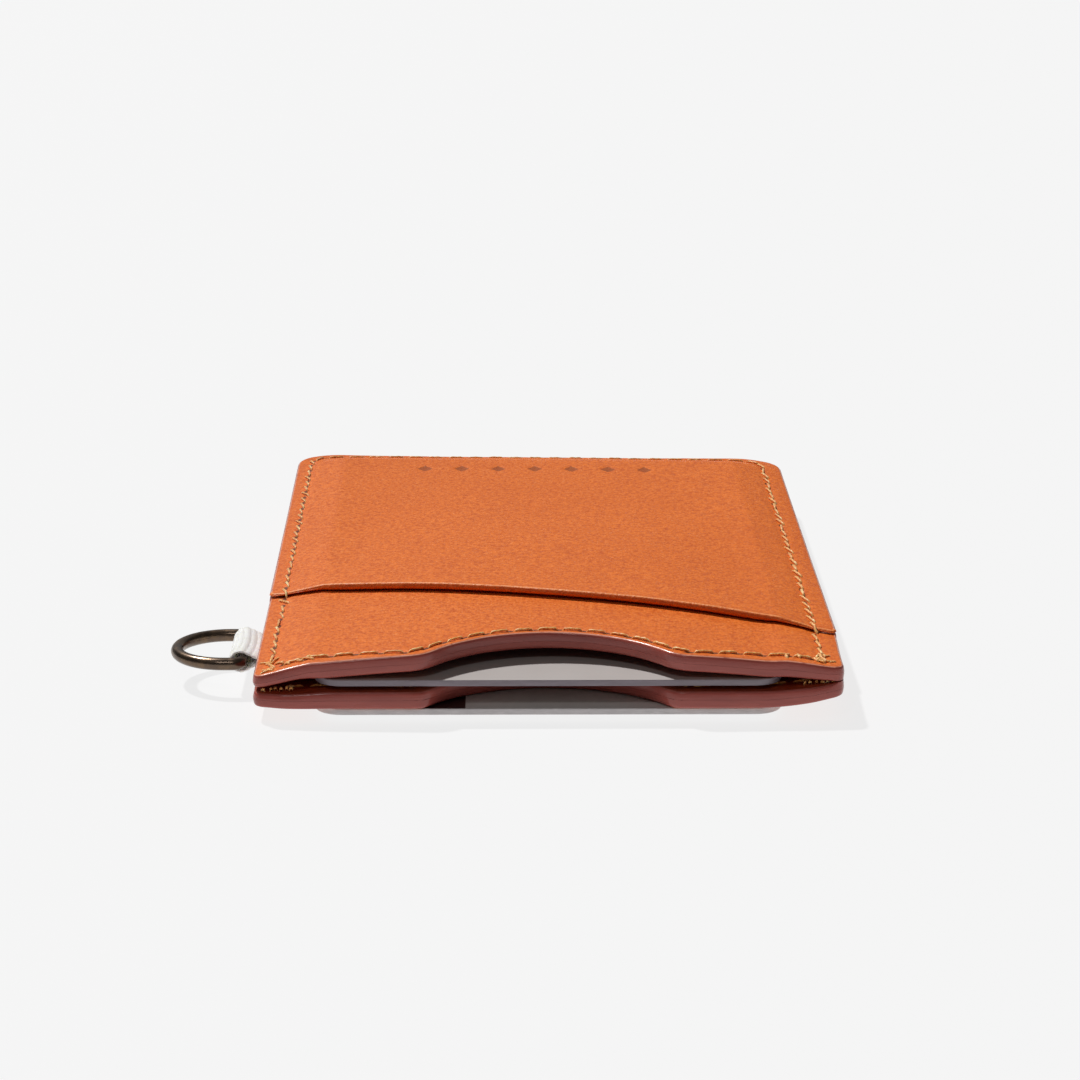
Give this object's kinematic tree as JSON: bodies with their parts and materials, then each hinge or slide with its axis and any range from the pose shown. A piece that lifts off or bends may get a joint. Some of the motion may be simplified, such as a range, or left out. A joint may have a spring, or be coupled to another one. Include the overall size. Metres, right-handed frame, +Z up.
{
  "type": "card wallet",
  "caption": "Slim sewn leather card wallet with a thumb-notched centre pocket, a sloped outer pocket on each face, and a swinging D-ring on a ribbon key tab.",
  "frame": {"origin": "centre of the wallet's outline on the flat outer face of the back pocket, on which it lies", "axes": "+X across the wallet away from the key ring, +Y from the pocket mouths to the closed end, +Z up from the back pocket to the front pocket"},
  "size_m": [0.0788, 0.1, 0.0093],
  "materials": {
    "outer_leather": "satin",
    "lining_leather": "satin",
    "seam_tape": "matte",
    "thread": "waxed",
    "ribbon": "matte",
    "ring_brass": "aged",
    "card_plastic": "satin",
    "stripe_coat": "satin"
  },
  "bodies": {
    "wallet": {"front_pocket": "outer_leather", "front_panel": "outer_leather", "front_lining": "lining_leather", "back_lining": "lining_leather", "back_panel": "outer_leather", "back_pocket": "outer_leather", "centre_seam_tape": "seam_tape", "front_seam_tape": "seam_tape", "back_seam_tape": "seam_tape", "seam_front_thread": "thread", "seam_back_thread": "thread", "front_mouth_outer_thread": "thread", "front_mouth_inner_thread": "thread", "back_mouth_inner_thread": "thread", "back_mouth_outer_thread": "thread", "key_tab": "ribbon"},
    "ring": {"d_ring": "ring_brass"},
    "centre_card": {"centre_card": "card_plastic"},
    "back_card": {"back_card": "card_plastic", "back_card_stripe": "stripe_coat"}
  },
  "joints": [
    {"name": "ring_swing", "type": "hinge", "parent": "wallet", "child": "ring", "pos_m": [-0.0361, -0.0336, 0.00385], "axis": [0, 1, 0], "range_deg": [-110, 110]},
    {"name": "centre_card_slide", "type": "slide", "parent": "wallet", "child": "centre_card", "axis": [0, -1, 0], "range_m": [-0.006, 0.088]},
    {"name": "back_card_slide", "type": "slide", "parent": "wallet", "child": "back_card", "axis": [0, -1, 0], "range_m": [-0.006, 0.088]}
  ]
}
